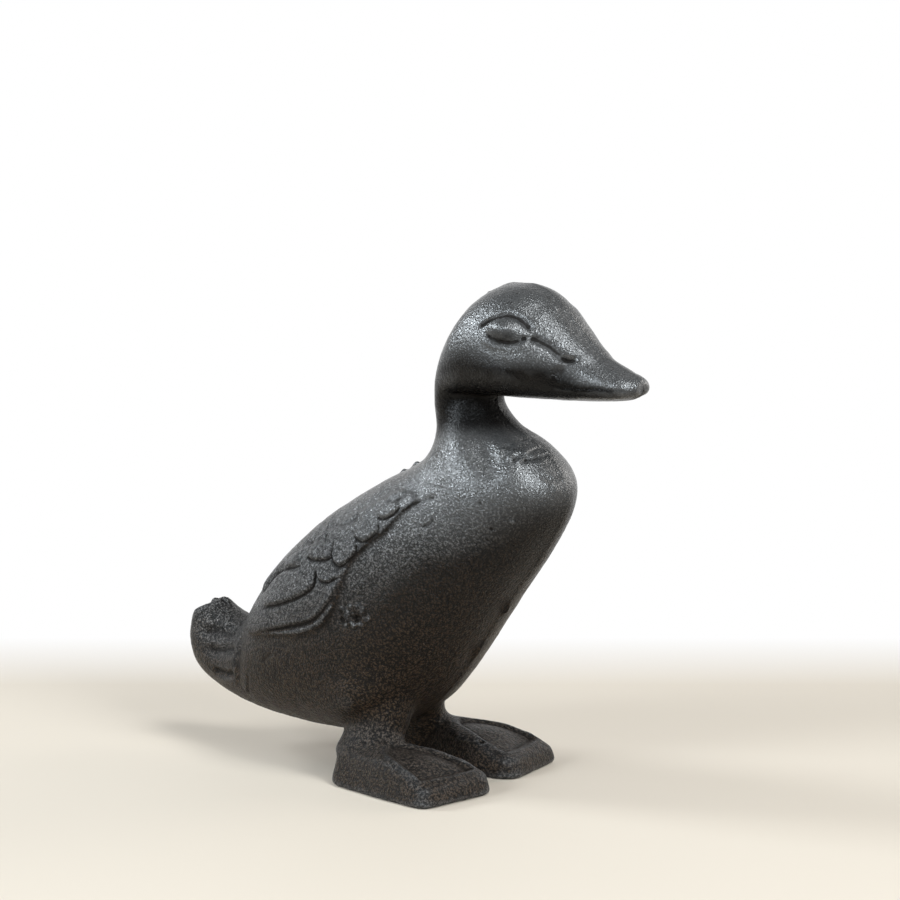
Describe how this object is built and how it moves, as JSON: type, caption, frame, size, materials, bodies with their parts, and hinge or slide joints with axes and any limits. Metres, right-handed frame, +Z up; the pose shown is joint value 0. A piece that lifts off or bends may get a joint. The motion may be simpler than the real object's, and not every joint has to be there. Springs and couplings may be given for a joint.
{
  "type": "duck ornament",
  "caption": "Free-standing cast iron duckling ornament: hollow left and right half castings with wing, leg and webbed foot, joined at the mid-plane by a cross screw.",
  "frame": {"origin": "on the plane the soles stand on, at the middle of the length and of the width over the feet", "axes": "+X the way the bill points, +Y towards the duck's left side, +Z up; the castings part at the plane Y = 0"},
  "size_m": [0.155, 0.0698, 0.1396],
  "materials": {
    "cast_iron_right": "sand-cast grain, dark brown-black wax",
    "cast_iron_left": "sand-cast grain, dark brown-black wax",
    "screw_steel": "plain steel, waxed over with the castings"
  },
  "bodies": {
    "root": {"right_half": "cast_iron_right", "left_half": "cast_iron_left", "tie_screw": "screw_steel"}
  },
  "joints": []
}
